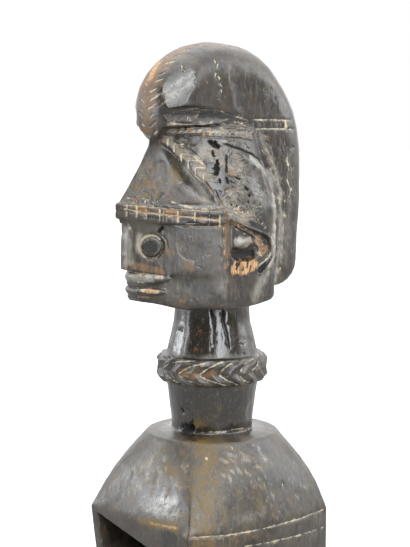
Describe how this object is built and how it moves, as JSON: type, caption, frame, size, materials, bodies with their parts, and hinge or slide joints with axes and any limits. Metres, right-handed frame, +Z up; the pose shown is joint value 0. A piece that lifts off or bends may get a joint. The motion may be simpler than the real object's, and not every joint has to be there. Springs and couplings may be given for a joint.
{
  "type": "carved wooden figure",
  "caption": "Carved wooden bust of a crested head on a plaited-ring neck and a hollow box-shaped trunk, cut flat below; stands by its own weight as an ornament.",
  "frame": {"origin": "on the neck's axis, in the flat cut under the trunk", "axes": "+Z up the neck to the crest, -Y the way the figure faces, +X its own left side"},
  "size_m": [0.123, 0.1405, 0.3615],
  "materials": {
    "patinated_wood": "dark brown-black hand-worn patina over carved hardwood, satin to glossy on high spots, pale residue in the cuts"
  },
  "bodies": {
    "root": {"carved_figure": "patinated_wood"}
  },
  "joints": []
}
